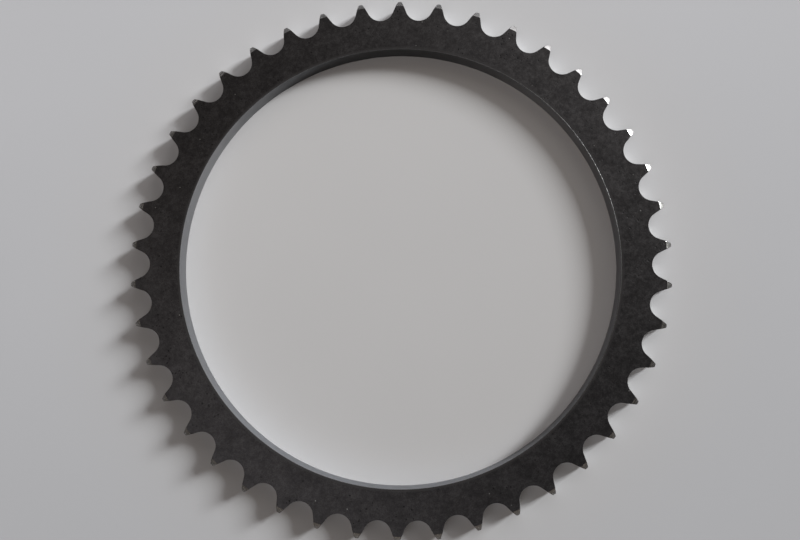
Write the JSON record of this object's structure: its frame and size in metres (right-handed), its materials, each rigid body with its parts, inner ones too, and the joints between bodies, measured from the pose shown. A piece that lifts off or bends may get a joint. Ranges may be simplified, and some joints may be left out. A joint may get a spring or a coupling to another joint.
{
  "type": "chain sprocket",
  "caption": "Flat steel ring sprocket for roller chain, with bevelled teeth round its rim and a large plain bore.",
  "frame": {"origin": "centre of the bore at the ring's lower face, which is the surface it lies on", "axes": "+Z along the bore axis and up from the lower face; +X through the middle of one tooth"},
  "size_m": [0.1742, 0.1738, 0.007],
  "materials": {
    "ring_steel": "black scale on the flat faces, bare turned metal in the bore and on the bevels of the tooth tips"
  },
  "bodies": {
    "root": {"sprocket_ring": "ring_steel"}
  },
  "joints": []
}
